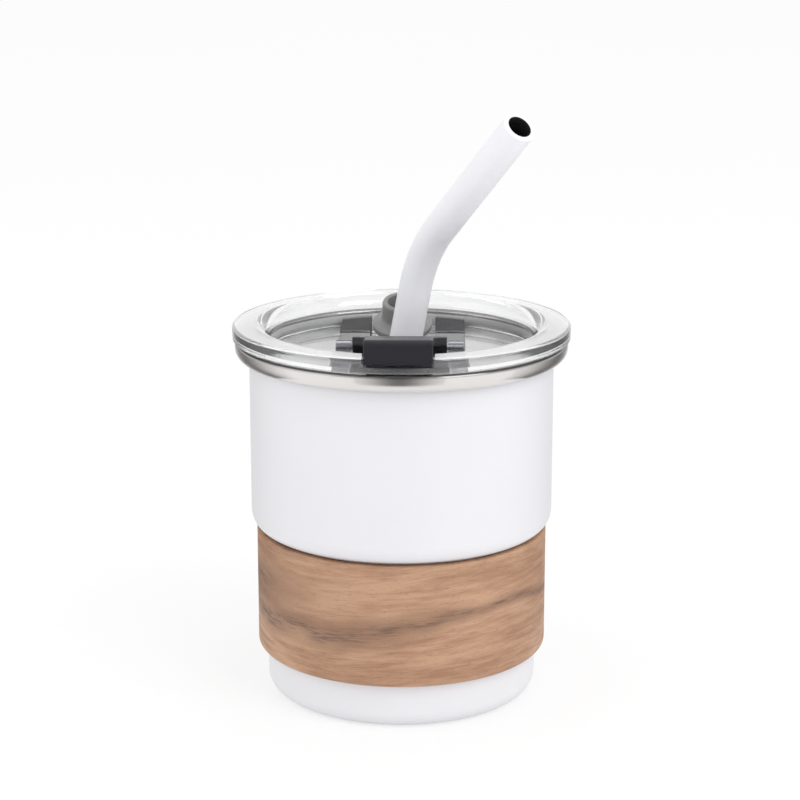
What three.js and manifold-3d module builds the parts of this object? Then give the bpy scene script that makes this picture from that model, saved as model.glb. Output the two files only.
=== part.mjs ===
// Tumbler with a straw: a double-walled steel cup with a white outside and a wooden band,
// a clear press-in lid with a flip-up sip cap and a straw stopper, and a bent drinking straw.
// Millimetres, +Z up. The origin is on the table, at the middle of the foot.

import * as THREE from 'three';
import { mergeVertices } from 'three/addons/utils/BufferGeometryUtils.js';
import Module from 'manifold-3d';

const wasm = await Module();
wasm.setup();

// Fits shared by the whole object
const seatGap = 0.3;
const hingeSideGap = 0.3;
const pinPlay = 0.15;
const embed = 0.5;

// Outer shell
const bodyRadius = 37.5;
const sleeveRadius = 33.7;
const bodyHeight = 38.1;
const shoulderDrop = 4.5;
const shellWall = 0.6;
const baseCorner = 4;
const footWidth = 1.6;
const footRecess = 2;

// Wooden band
const bandBottom = 11.4;
const bandHeight = 30.6;
const bandWall = 2.2;
const bandFit = 0.26;
const bandLowerEdge = 1.6;
const bandUpperEdge = 0.5;

// Inner liner and its rolled lip
const linerWall = 0.5;
const vacuumGap = 1.7;
const floorSpace = 3;
const linerShoulderRise = 6;
const linerShoulderLift = 1.2;
const lipOverhang = 3.5;
const lipHeight = 4.7;
const lipRoll = 3;
const lipEdge = 1;
const lipEntry = 1;

// Foot closure
const plateWall = 0.6;
const evacuationRadius = 1;
const sealHeadRadius = 2.4;
const sealHeadHeight = 0.8;
const sealHeadEdge = 0.4;
const getterRadius = 4.5;
const getterHeight = 1.6;
const getterOffset = 12;

// Lid
const flangeReach = 0.6;
const flangeHeight = 3.6;
const flangeUpperEdge = 0.8;
const flangeLowerEdge = 0.5;
const plugFit = 0.5;
const plugTail = 1.1;
const plugWall = 2.3;
const plugChamfer = 0.5;
const dishWall = 1.6;
const dishDraft = 0.4;
const dishDepth = 7.3;
const dishCorner = 1;
const dishRimEdge = 3.4;
const floorWall = 2;
const deckHeight = 2;
const deckMargin = 0.5;
const restSetback = 8.2;
const restRise = 0.3;

// Lid gasket
const grooveDepth = 1.2;
const grooveHeight = 2.8;
const grooveBelowFloor = 0.5;
const gasketFit = 0.2;
const gasketWallFit = 0.25;
const gasketFinDepth = 0.6;
const gasketFins = 2;

// Sip slot and flip cap
const slotWidth = 12;
const slotDepth = 4.4;
const padOverlap = 0.6;
const padMargin = 0.9;
const padThickness = 1.6;
const padFloor = 0.9;
const padFit = 0.2;
const stemInset = 0.6;
const capSetback = 0.9;
const capLever = 20.7;
const capFaceWidth = 16;
const capFaceHeight = 6.1;
const capFaceDrop = 1.65;
const capPlate = 2.2;
const capSkirt = 2;
const capCorner = 1;
const capTopEdge = 1.4;
const capFlare = 4.2;
const notchClear = 0.4;
const barrelRadius = 2.5;
const barrelLength = 22.4;
const barrelClear = 1;
const cheekWidth = 3.7;
const cheekRadius = 1.6;
const flipPinRadius = 0.8;

// Straw
const strawRadius = 4;
const strawBore = 2.75;
const strawLean = THREE.MathUtils.degToRad(10.2);
const strawShift = 0.45;
const strawLowerLength = 96.3;
const strawUpperLength = 39.8;
const strawBendRadius = 26;
const strawBend = THREE.MathUtils.degToRad(40.6);
const strawHeading = THREE.MathUtils.degToRad(-60);

// Straw hole and its stopper
const strawHoleY = -3;
const strawPlay = 1.8;
const stopperSetback = 0.8;
const stopperLean = THREE.MathUtils.degToRad(18);
const stopperBarrel = 1.2;
const stopperStrapWidth = 6;
const stopperStrapUnder = 0.6;
const stopperStrapOver = 0.8;
const stopperDiscRadius = 7.5;
const stopperDiscUnder = 0.9;
const stopperDiscRim = 0.75;
const stopperDiscOver = 1.3;
const stopperNeck = 1;
const stopperPlugFit = 0.6;
const stopperPlugHeight = 5.4;
const stopperPlugTaper = 0.3;
const stopperPlugWall = 1.6;
const stopperPlugFloor = 1.3;
const stopperPlugEdge = 0.7;
const stopperFillet = 1.4;
const pocketClear = 0.7;
const lugWidth = 1.7;
const stopperPinRadius = 0.5;

// Smoothness of round forms
const roundSides = 40;
const smallSides = 24;
const arcSteps = 2;
const holeSteps = 10;
const pinSteps = 5;
const strawBendSteps = 8;
const weldDistance = 1e-4;

// Cup levels and radii, from the table up
const bandTop = bandBottom + bandHeight;
const bandInner = sleeveRadius + bandFit;
const bandOuter = bandInner + bandWall;
const shoulderBottom = bandTop + seatGap;
const shoulderTop = shoulderBottom + shoulderDrop;
const shoulderStep = bodyRadius - sleeveRadius;
const lipBottom = shoulderTop + bodyHeight;
const lipTop = lipBottom + lipHeight;
const lipRadius = bodyRadius + lipOverhang;
const shellTop = lipTop - linerWall - seatGap;
const footInner = sleeveRadius - baseCorner - footWidth;
const plateTop = footRecess + plateWall;
const linerUnder = plateTop + floorSpace;
const linerFloor = linerUnder + linerWall;
const mouthRadius = bodyRadius - shellWall - vacuumGap - linerWall;
const linerLower = sleeveRadius - shellWall - vacuumGap - linerWall;

// Lid levels, counted from the underside of the flange
const lidSeat = lipTop + seatGap;
const flangeRadius = lipRadius + flangeReach;
const plugRadius = mouthRadius - plugFit;
const dishRadius = plugRadius - dishWall;
const dishRim = dishRadius + dishDraft;
const floorTop = flangeHeight - dishDepth;
const floorBottom = floorTop - floorWall;
const deckTop = floorTop + deckHeight;
const restTop = deckTop + restRise;
const grooveRadius = plugRadius - grooveDepth;
const grooveTop = floorTop - grooveBelowFloor;
const grooveBottom = grooveTop - grooveHeight;
const lidBottom = grooveBottom - plugTail;

// Flip cap places, in the lid's frame
const capFaceY = -(flangeRadius - capSetback);
const flipHingeY = capFaceY + capLever;
const flipHingeZ = deckTop + barrelClear + barrelRadius;
const cheekInner = barrelLength / 2 + hingeSideGap;
const cheekOuter = cheekInner + cheekWidth;
const deckHalf = cheekOuter + deckMargin;
const capFaceBottom = flangeHeight - capFaceDrop;
const padHalf = slotWidth / 2 + padOverlap;
const padFrontY = -Math.sqrt(dishRadius ** 2 - padHalf ** 2) + padMargin;
const padDepth = slotDepth + 2 * padOverlap;
const slotY = padFrontY + padDepth / 2;

// Straw hole and stopper places, in the lid's frame
const strawHoleRadius = strawRadius + strawPlay;
const stopperHingeY = strawHoleY + strawHoleRadius + stopperSetback;
const stopperHingeZ = floorTop + seatGap + stopperBarrel;
const stopperReach = stopperDiscRadius + stopperNeck;
const stopperPlugRadius = strawHoleRadius - stopperPlugFit;
const lugInner = stopperStrapWidth / 2 + hingeSideGap;
const lugOuter = lugInner + lugWidth;
const pocketHalf = stopperDiscRadius + pocketClear;
const restFront = stopperHingeY + restSetback;

const whiteCoat = new THREE.MeshStandardMaterial({ color: '#f0f0f3', roughness: 0.45, metalness: 0 });
const steel = new THREE.MeshStandardMaterial({ color: '#b9b6b2', roughness: 0.3, metalness: 1 });
const wood = new THREE.MeshStandardMaterial({ color: '#b78d63', roughness: 0.6, metalness: 0 });
const clearPlastic = new THREE.MeshStandardMaterial({
  color: '#eef1f3', roughness: 0.08, metalness: 0, transparent: true, opacity: 0.35,
});
const blackPlastic = new THREE.MeshStandardMaterial({ color: '#2b2b2f', roughness: 0.5, metalness: 0 });
const greySilicone = new THREE.MeshStandardMaterial({ color: '#8b8b88', roughness: 0.5, metalness: 0 });
const clearSilicone = new THREE.MeshStandardMaterial({ color: '#d8dadb', roughness: 0.6, metalness: 0 });
const whitePlastic = new THREE.MeshStandardMaterial({ color: '#e6e5ea', roughness: 0.4, metalness: 0 });
const solder = new THREE.MeshStandardMaterial({ color: '#4a4d52', roughness: 0.4, metalness: 0 });

// A closed three.js geometry as a solid that can be joined and cut
function solidOf(geometry) {
  const bare = geometry.clone();
  bare.deleteAttribute('normal');
  bare.deleteAttribute('uv');
  const merged = mergeVertices(bare, weldDistance);
  const corners = merged.getAttribute('position');
  const index = merged.getIndex().array;
  const triangles = [];
  let volume = 0;
  const [a, b, c] = [new THREE.Vector3(), new THREE.Vector3(), new THREE.Vector3()];
  for (let i = 0; i < index.length; i += 3) {
    const [p, q, r] = [index[i], index[i + 1], index[i + 2]];
    if (p === q || q === r || r === p) continue;
    triangles.push([p, q, r]);
    a.fromBufferAttribute(corners, p);
    b.fromBufferAttribute(corners, q);
    c.fromBufferAttribute(corners, r);
    volume += a.dot(b.cross(c));
  }
  const outward = volume > 0 ? triangles : triangles.map(([p, q, r]) => [p, r, q]);
  return new wasm.Manifold(new wasm.Mesh({
    numProp: 3,
    vertProperties: new Float32Array(corners.array),
    triVerts: new Uint32Array(outward.flat()),
  }));
}

function meshOf(name, solid, material) {
  const result = solid.getMesh();
  const geometry = new THREE.BufferGeometry();
  geometry.setAttribute('position', new THREE.BufferAttribute(result.vertProperties, 3));
  geometry.setIndex(new THREE.BufferAttribute(result.triVerts, 1));
  geometry.computeVertexNormals();
  const mesh = new THREE.Mesh(geometry, material);
  mesh.name = name;
  return mesh;
}

// An outline of radius and height, turned round the Z axis
function turned(outline, sides = roundSides) {
  const lathe = new THREE.LatheGeometry(outline.getPoints(arcSteps), sides);
  return solidOf(lathe.rotateX(Math.PI / 2));
}

// A plan shape raised from one level to another
function raised(shape, low, high, steps = arcSteps) {
  const options = { depth: high - low, bevelEnabled: false, curveSegments: steps };
  return solidOf(new THREE.ExtrudeGeometry(shape, options).translate(0, 0, low));
}

// A side shape drawn in Y and Z, drawn out along X
const sideFrame = new THREE.Matrix4().makeBasis(
  new THREE.Vector3(0, 1, 0),
  new THREE.Vector3(0, 0, 1),
  new THREE.Vector3(1, 0, 0),
);
function drawnOut(shape, left, right, steps = arcSteps) {
  const options = { depth: right - left, bevelEnabled: false, curveSegments: steps };
  const bar = new THREE.ExtrudeGeometry(shape, options).translate(0, 0, left);
  return solidOf(bar.applyMatrix4(sideFrame));
}

// The same bar on the left and on the right of the middle
function drawnTwice(shape, inner, outer) {
  return drawnOut(shape, -outer, -inner, pinSteps).add(drawnOut(shape, inner, outer, pinSteps));
}

function disc(x, y, radius) {
  return new THREE.Shape().absarc(x, y, radius, 0, 2 * Math.PI, false);
}

function rectangle(left, right, low, high) {
  const shape = new THREE.Shape();
  shape.moveTo(left, low);
  shape.lineTo(right, low);
  shape.lineTo(right, high);
  shape.lineTo(left, high);
  shape.closePath();
  return shape;
}

function roundedRectangle(left, right, low, high, corner) {
  const shape = new THREE.Shape();
  const quarter = Math.PI / 2;
  shape.absarc(left + corner, low + corner, corner, 2 * quarter, 3 * quarter, false);
  shape.absarc(right - corner, low + corner, corner, 3 * quarter, 4 * quarter, false);
  shape.absarc(right - corner, high - corner, corner, 0, quarter, false);
  shape.absarc(left + corner, high - corner, corner, quarter, 2 * quarter, false);
  shape.closePath();
  return shape;
}

// A slot across the middle with half-round ends
function roundEnded(width, depth, y) {
  const quarter = Math.PI / 2;
  const end = depth / 2;
  const reach = width / 2 - end;
  const shape = new THREE.Shape();
  shape.absarc(reach, y, end, -quarter, quarter, false);
  shape.absarc(-reach, y, end, quarter, 3 * quarter, false);
  shape.closePath();
  return shape;
}

// A post with a round head about a hinge axis, seen from the side
function hingePost(y, z, radius, foot) {
  const shape = new THREE.Shape();
  shape.moveTo(y - radius, foot);
  shape.lineTo(y + radius, foot);
  shape.absarc(y, z, radius, 0, Math.PI, false);
  shape.closePath();
  return shape;
}

// Outer shell: one skin from the lip down over the shoulder to the foot
function outerShell() {
  const quarter = Math.PI / 2;
  const cornerX = sleeveRadius - baseCorner;
  const innerSleeve = sleeveRadius - shellWall;
  const skin = new THREE.Path();
  skin.moveTo(bodyRadius, shellTop);
  skin.lineTo(bodyRadius, shoulderTop);
  skin.absellipse(sleeveRadius, shoulderTop, shoulderStep, shoulderDrop, 0, -quarter, true);
  skin.lineTo(sleeveRadius, baseCorner);
  skin.absarc(cornerX, baseCorner, baseCorner, 0, -quarter, true);
  skin.lineTo(footInner, 0);
  skin.lineTo(footInner, plateTop);
  skin.lineTo(footInner + shellWall, plateTop);
  skin.lineTo(footInner + shellWall, shellWall);
  skin.lineTo(cornerX, shellWall);
  skin.absarc(cornerX, baseCorner, baseCorner - shellWall, -quarter, 0, false);
  skin.lineTo(innerSleeve, shoulderBottom + shellWall);
  skin.lineTo(sleeveRadius, shoulderBottom + shellWall);
  const innerStep = shoulderStep - shellWall;
  const innerDrop = shoulderDrop - shellWall;
  skin.absellipse(sleeveRadius, shoulderTop, innerStep, innerDrop, -quarter, 0, false);
  skin.lineTo(bodyRadius - shellWall, shellTop);
  skin.closePath();
  return turned(skin);
}

// Inner liner: a tube with a narrow lower part, a waist and a wide mouth
function innerLiner() {
  const shoulderFoot = shoulderBottom + linerShoulderLift;
  const shoulderHead = shoulderFoot + linerShoulderRise;
  const wallTop = lipTop - lipEntry - seatGap;
  const outside = (radius) => radius + linerWall;
  const wall = new THREE.Path();
  wall.moveTo(linerLower, linerUnder);
  wall.lineTo(linerLower, shoulderFoot);
  wall.lineTo(mouthRadius, shoulderHead);
  wall.lineTo(mouthRadius, wallTop);
  wall.lineTo(outside(mouthRadius), wallTop);
  wall.lineTo(outside(mouthRadius), shoulderHead);
  wall.lineTo(outside(linerLower), shoulderFoot);
  wall.lineTo(outside(linerLower), linerUnder);
  wall.closePath();
  return turned(wall);
}

// Floor of the liner, set into the tube's lower end
function linerBottom() {
  const rim = linerLower - seatGap;
  const plate = new THREE.Path();
  plate.moveTo(0, linerFloor);
  plate.lineTo(rim, linerFloor);
  plate.lineTo(rim, linerUnder);
  plate.lineTo(0, linerUnder);
  return turned(plate);
}

// Lip: a ring on the liner's mouth, rolled out and down over the top of the shell
function rolledLip() {
  const quarter = Math.PI / 2;
  const entryX = mouthRadius + lipEntry;
  const rollX = lipRadius - lipRoll;
  const rollEnd = bodyRadius + seatGap;
  const ring = new THREE.Path();
  ring.moveTo(mouthRadius + linerWall, lipTop - lipEntry);
  ring.lineTo(mouthRadius, lipTop - lipEntry);
  ring.absarc(entryX, lipTop - lipEntry, lipEntry, 2 * quarter, quarter, true);
  ring.lineTo(lipRadius - lipEdge, lipTop);
  ring.absarc(lipRadius - lipEdge, lipTop - lipEdge, lipEdge, quarter, 0, true);
  ring.lineTo(lipRadius, lipBottom + lipRoll);
  ring.absarc(rollX, lipBottom + lipRoll, lipRoll, 0, -quarter, true);
  ring.lineTo(rollEnd, lipBottom);
  ring.lineTo(rollEnd, lipBottom + linerWall);
  ring.lineTo(rollX, lipBottom + linerWall);
  ring.absarc(rollX, lipBottom + lipRoll, lipRoll - linerWall, -quarter, 0, false);
  ring.lineTo(lipRadius - linerWall, lipTop - lipEdge);
  ring.absarc(lipRadius - lipEdge, lipTop - lipEdge, lipEdge - linerWall, 0, quarter, false);
  ring.lineTo(entryX, lipTop - linerWall);
  ring.absarc(entryX, lipTop - lipEntry, lipEntry - linerWall, quarter, 2 * quarter, false);
  ring.closePath();
  return turned(ring);
}

function woodBand() {
  const quarter = Math.PI / 2;
  const ring = new THREE.Path();
  ring.moveTo(bandInner, bandBottom);
  ring.lineTo(bandOuter - bandLowerEdge, bandBottom);
  ring.absarc(bandOuter - bandLowerEdge, bandBottom + bandLowerEdge, bandLowerEdge, -quarter, 0, false);
  ring.absarc(bandOuter - bandUpperEdge, bandTop - bandUpperEdge, bandUpperEdge, 0, quarter, false);
  ring.lineTo(bandInner, bandTop);
  ring.closePath();
  return turned(ring);
}

function basePlate() {
  const rim = footInner - seatGap;
  const plate = new THREE.Path();
  plate.moveTo(evacuationRadius, footRecess);
  plate.lineTo(rim, footRecess);
  plate.lineTo(rim, plateTop);
  plate.lineTo(evacuationRadius, plateTop);
  plate.closePath();
  return turned(plate);
}

// Seal bead: a stem in the evacuation hole and a head under the plate
function vacuumSeal() {
  const headTop = footRecess - pinPlay;
  const headBottom = headTop - sealHeadHeight;
  const stem = evacuationRadius - pinPlay;
  const bead = new THREE.Path();
  bead.moveTo(0, headBottom);
  bead.lineTo(sealHeadRadius - sealHeadEdge, headBottom);
  bead.lineTo(sealHeadRadius, headTop);
  bead.lineTo(stem, headTop);
  bead.lineTo(stem, plateTop);
  bead.lineTo(0, plateTop);
  return turned(bead, smallSides);
}

function vacuumGetter() {
  const bottom = plateTop + seatGap;
  return raised(disc(getterOffset, 0, getterRadius), bottom, bottom + getterHeight, holeSteps);
}

// Lid: turned flange, dish, floor and plug, then deck, hinge posts and cuts
function lidBody() {
  const quarter = Math.PI / 2;
  const upperX = flangeRadius - flangeUpperEdge;
  const skirtInner = plugRadius - plugWall;
  const form = new THREE.Path();
  form.moveTo(0, floorTop);
  form.lineTo(dishRadius - dishCorner, floorTop);
  form.absarc(dishRadius - dishCorner, floorTop + dishCorner, dishCorner, -quarter, 0, false);
  form.absarc(dishRim + dishRimEdge, flangeHeight - dishRimEdge, dishRimEdge, 2 * quarter, quarter, true);
  form.absarc(upperX, flangeHeight - flangeUpperEdge, flangeUpperEdge, quarter, 0, true);
  form.lineTo(flangeRadius, flangeLowerEdge);
  form.lineTo(flangeRadius - flangeLowerEdge, 0);
  form.lineTo(plugRadius, 0);
  form.lineTo(plugRadius, grooveTop);
  form.lineTo(grooveRadius, grooveTop);
  form.lineTo(grooveRadius, grooveBottom);
  form.lineTo(plugRadius, grooveBottom);
  form.lineTo(plugRadius, lidBottom + plugChamfer);
  form.lineTo(plugRadius - plugChamfer, lidBottom);
  form.lineTo(skirtInner, lidBottom);
  form.lineTo(skirtInner, floorBottom);
  form.lineTo(0, floorBottom);
  const sunk = floorTop - embed;
  const pastTop = flangeHeight + embed;
  const pastFloor = floorBottom - embed;

  // The deck runs from wall to wall, and its back part stands a little higher either side of the stopper
  const deckReach = dishRadius + embed;
  const side = Math.acos(deckHalf / deckReach);
  const deckPlan = new THREE.Shape();
  deckPlan.absarc(0, 0, deckReach, side, Math.PI - side, false);
  deckPlan.absarc(0, 0, deckReach, Math.PI + side, 2 * Math.PI - side, false);
  deckPlan.closePath();
  const restPlan = new THREE.Shape();
  restPlan.moveTo(-deckHalf, restFront);
  restPlan.lineTo(deckHalf, restFront);
  restPlan.absarc(0, 0, deckReach, side, Math.PI - side, false);
  restPlan.closePath();

  // The stopper folds over in a keyhole pocket of the deck, round the straw hole and out to the back wall
  const pocketTop = restTop + embed;
  const pocketChannel = rectangle(-pocketHalf, pocketHalf, strawHoleY, deckReach + embed);
  const pocketRound = disc(0, strawHoleY, pocketHalf);
  const deck = raised(deckPlan, sunk, deckTop, holeSteps)
    .add(raised(restPlan, sunk, restTop, holeSteps))
    .subtract(raised(pocketChannel, floorTop, pocketTop))
    .subtract(raised(pocketRound, floorTop, pocketTop, holeSteps));
  const cheeks = drawnTwice(hingePost(flipHingeY, flipHingeZ, cheekRadius, sunk), cheekInner, cheekOuter);
  const lugs = drawnTwice(hingePost(stopperHingeY, stopperHingeZ, stopperBarrel, sunk), lugInner, lugOuter);
  const whole = turned(form).add(deck).add(cheeks).add(lugs);

  const notchHalf = capFaceWidth / 2 + notchClear;
  const notchPlan = rectangle(-notchHalf, notchHalf, -flangeRadius - embed, -dishRadius + padMargin);
  const flipBore = disc(flipHingeY, flipHingeZ, flipPinRadius + pinPlay);
  const stopperBore = disc(stopperHingeY, stopperHingeZ, stopperPinRadius + pinPlay);
  const cuts = [
    raised(disc(0, strawHoleY, strawHoleRadius), pastFloor, pastTop, holeSteps),
    raised(roundEnded(slotWidth, slotDepth, slotY), pastFloor, deckTop + embed, pinSteps),
    raised(notchPlan, capFaceBottom - notchClear, pastTop),
    drawnOut(flipBore, -deckHalf, deckHalf, pinSteps),
    drawnOut(stopperBore, -lugOuter - embed, lugOuter + embed, pinSteps),
  ];
  return cuts.reduce((rest, cut) => rest.subtract(cut), whole);
}

// Gasket: a ring in the plug's groove with fins towards the mouth
function lidGasket() {
  const inner = grooveRadius + gasketFit;
  const outer = mouthRadius - gasketWallFit;
  const top = grooveTop - gasketFit;
  const bottom = grooveBottom + gasketFit;
  const valley = outer - gasketFinDepth;
  const finHeight = (top - bottom) / gasketFins;
  const ring = new THREE.Path();
  ring.moveTo(inner, bottom);
  for (let fin = 0; fin < gasketFins; fin += 1) {
    ring.lineTo(valley, bottom + fin * finHeight);
    ring.lineTo(outer, bottom + (fin + 0.5) * finHeight);
  }
  ring.lineTo(valley, top);
  ring.lineTo(inner, top);
  ring.closePath();
  return turned(ring);
}

// The flip cap is drawn about its hinge axis, with its front face towards -Y
const capTopZ = capFaceBottom + capFaceHeight - flipHingeZ;
const capLowZ = capFaceBottom - flipHingeZ;
const capSlope = (capTopZ - barrelRadius) / capLever;
const capTopAt = (y) => barrelRadius - capSlope * y;
const padBottom = deckTop + seatGap - flipHingeZ;
const stemBottom = padBottom + padFloor + padFit;
const padY = slotY - flipHingeY;
const stemHalf = padHalf - stemInset - padFit;
const stemDepth = padDepth / 2 - stemInset - padFit;

function flipCap() {
  const skirtY = -capLever + capSkirt;
  const side = new THREE.Shape();
  side.moveTo(0, barrelRadius);
  side.lineTo(-capLever + capTopEdge, capTopAt(-capLever + capTopEdge));
  side.quadraticCurveTo(-capLever, capTopZ, -capLever, capTopZ - capTopEdge);
  side.lineTo(-capLever, capLowZ);
  side.lineTo(skirtY, capLowZ);
  side.lineTo(skirtY, capTopAt(skirtY) - capPlate);
  side.lineTo(0, barrelRadius - capPlate);
  side.closePath();

  // Seen from above the lever is as wide as its face, and flares out to the barrel just before the hinge
  const faceHalf = capFaceWidth / 2;
  const rearHalf = barrelLength / 2;
  const flareEnd = -barrelRadius;
  const flareStart = flareEnd - capFlare;
  const flareMiddle = (flareStart + flareEnd) / 2;
  const plan = new THREE.Shape();
  const quarter = Math.PI / 2;
  plan.absarc(-faceHalf + capCorner, -capLever + capCorner, capCorner, 2 * quarter, 3 * quarter, false);
  plan.absarc(faceHalf - capCorner, -capLever + capCorner, capCorner, 3 * quarter, 4 * quarter, false);
  plan.lineTo(faceHalf, flareStart);
  plan.bezierCurveTo(faceHalf, flareMiddle, rearHalf, flareMiddle, rearHalf, flareEnd);
  plan.lineTo(rearHalf, barrelRadius);
  plan.lineTo(-rearHalf, barrelRadius);
  plan.lineTo(-rearHalf, flareEnd);
  plan.bezierCurveTo(-rearHalf, flareMiddle, -faceHalf, flareMiddle, -faceHalf, flareStart);
  plan.closePath();

  const lever = drawnOut(side, -rearHalf, rearHalf, pinSteps)
    .intersect(raised(plan, capLowZ, capTopZ, pinSteps));
  const barrel = drawnOut(disc(0, 0, barrelRadius), -rearHalf, rearHalf, holeSteps);
  const stemPlan = rectangle(-stemHalf, stemHalf, padY - stemDepth, padY + stemDepth);
  const stem = raised(stemPlan, stemBottom, capTopAt(padY) - capPlate / 2);
  const bore = disc(0, 0, flipPinRadius + pinPlay);
  return lever.add(barrel).add(stem).subtract(drawnOut(bore, -barrelLength, barrelLength, pinSteps));
}

// Seal pad: a shallow silicone cup gripping the stem, flat over the sip slot
function flipCapSeal() {
  const padEnd = padDepth / 2;
  const outline = roundedRectangle(-padHalf, padHalf, padY - padEnd, padY + padEnd, capCorner);
  const pocketX = stemHalf + padFit;
  const pocketY = stemDepth + padFit;
  const pocket = rectangle(-pocketX, pocketX, padY - pocketY, padY + pocketY);
  const padTop = padBottom + padThickness;
  const block = raised(outline, padBottom, padTop);
  return block.subtract(raised(pocket, padBottom + padFloor, padTop + embed));
}

function flipHingePin() {
  return drawnOut(disc(0, 0, flipPinRadius), -cheekOuter, cheekOuter, pinSteps);
}

// The stopper is drawn about its hinge axis, lying flat towards +Y with its plug up
function strawStopper() {
  const quarter = Math.PI / 2;
  const plugTop = stopperDiscOver + stopperPlugHeight;
  const bore = stopperPlugRadius - stopperPlugWall;
  const filletShare = stopperFillet / (stopperDiscRadius - stopperPlugRadius);
  const filletZ = THREE.MathUtils.lerp(stopperDiscOver, stopperDiscRim, filletShare);
  const edgeX = stopperPlugRadius - stopperPlugTaper - stopperPlugEdge;
  const form = new THREE.Path();
  form.moveTo(0, -stopperDiscUnder);
  form.lineTo(stopperDiscRadius, -stopperDiscUnder);
  form.lineTo(stopperDiscRadius, stopperDiscRim);
  form.lineTo(stopperPlugRadius + stopperFillet, filletZ);
  const filletTop = stopperDiscOver + stopperFillet;
  form.quadraticCurveTo(stopperPlugRadius, stopperDiscOver, stopperPlugRadius, filletTop);
  form.absarc(edgeX, plugTop - stopperPlugEdge, stopperPlugEdge, 0, quarter, false);
  form.lineTo(bore, plugTop);
  form.lineTo(bore, stopperPlugFloor);
  form.lineTo(0, stopperPlugFloor);
  const lathe = new THREE.LatheGeometry(form.getPoints(pinSteps), smallSides);
  const plug = solidOf(lathe.rotateX(quarter).translate(0, stopperReach, 0));
  const strapHalf = stopperStrapWidth / 2;
  const strapSide = rectangle(0, stopperReach, -stopperStrapUnder, stopperStrapOver);
  const strap = drawnOut(strapSide, -strapHalf, strapHalf);
  const barrel = drawnOut(disc(0, 0, stopperBarrel), -strapHalf, strapHalf, pinSteps);
  const pinBore = disc(0, 0, stopperPinRadius + pinPlay);
  const cut = drawnOut(pinBore, -stopperStrapWidth, stopperStrapWidth, pinSteps);
  return plug.add(strap).add(barrel).subtract(cut);
}

function stopperHingePin() {
  return drawnOut(disc(0, 0, stopperPinRadius), -lugOuter, lugOuter, pinSteps);
}

// The straw's centre line from its lower end: a straight run, the bend and a straight mouth run.
// The runs take one step each, so the steps are spaced by parameter and not by length.
class StrawLine extends THREE.Curve {
  getUtoTmapping(u) {
    return u;
  }

  getPoint(t, target = new THREE.Vector3()) {
    const step = t * (strawBendSteps + 2);
    const bent = THREE.MathUtils.clamp(step - 1, 0, strawBendSteps) * (strawBend / strawBendSteps);
    const lower = Math.min(step, 1) * strawLowerLength;
    const upper = Math.max(step - 1 - strawBendSteps, 0) * strawUpperLength;
    const out = strawBendRadius * (1 - Math.cos(bent)) + upper * Math.sin(strawBend);
    const up = lower + strawBendRadius * Math.sin(bent) + upper * Math.cos(strawBend);
    return target.set(out * Math.cos(strawHeading), out * Math.sin(strawHeading), up);
  }
}

function straw() {
  const section = disc(0, 0, strawRadius);
  section.holes.push(new THREE.Path().absarc(0, 0, strawBore, 0, 2 * Math.PI, true));
  const options = { extrudePath: new StrawLine(), steps: strawBendSteps + 2, curveSegments: holeSteps };
  return solidOf(new THREE.ExtrudeGeometry(section, options));
}

// The straw stands on the liner's floor and leans through the straw hole
function placeStraw(group) {
  const footZ = linerFloor + seatGap + strawRadius * Math.sin(strawLean);
  const holeZ = lidSeat + (floorBottom + deckTop) / 2;
  group.position.set(strawShift - Math.tan(strawLean) * (holeZ - footZ), strawHoleY, footZ);
  group.rotation.y = strawLean;
}

const tumbler = new THREE.Group();
tumbler.add(
  meshOf('outer_shell', outerShell(), whiteCoat),
  meshOf('wood_band', woodBand(), wood),
  meshOf('inner_liner', innerLiner(), steel),
  meshOf('liner_floor', linerBottom(), steel),
  meshOf('rolled_lip', rolledLip(), steel),
  meshOf('base_plate', basePlate(), steel),
  meshOf('vacuum_seal', vacuumSeal(), solder),
  meshOf('vacuum_getter', vacuumGetter(), steel),
);

const lid = new THREE.Group();
lid.position.z = lidSeat;
lid.add(
  meshOf('lid_body', lidBody(), clearPlastic),
  meshOf('lid_gasket', lidGasket(), clearSilicone),
);
tumbler.add(lid);

const sipCap = new THREE.Group();
sipCap.position.set(0, flipHingeY, flipHingeZ);
sipCap.add(
  meshOf('flip_cap', flipCap(), blackPlastic),
  meshOf('flip_cap_seal', flipCapSeal(), greySilicone),
  meshOf('flip_hinge_pin', flipHingePin(), steel),
);
lid.add(sipCap);

const stopper = new THREE.Group();
stopper.position.set(0, stopperHingeY, stopperHingeZ);
stopper.rotation.x = stopperLean;
stopper.add(
  meshOf('straw_stopper', strawStopper(), greySilicone),
  meshOf('stopper_hinge_pin', stopperHingePin(), steel),
);
lid.add(stopper);

const strawGroup = new THREE.Group();
placeStraw(strawGroup);
strawGroup.add(meshOf('straw', straw(), whitePlastic));
tumbler.add(strawGroup);

export default tumbler;
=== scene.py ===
from math import acos, cos, degrees, pi, radians, sin, tan

import bmesh
import bpy
from mathutils import Matrix, Vector


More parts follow.
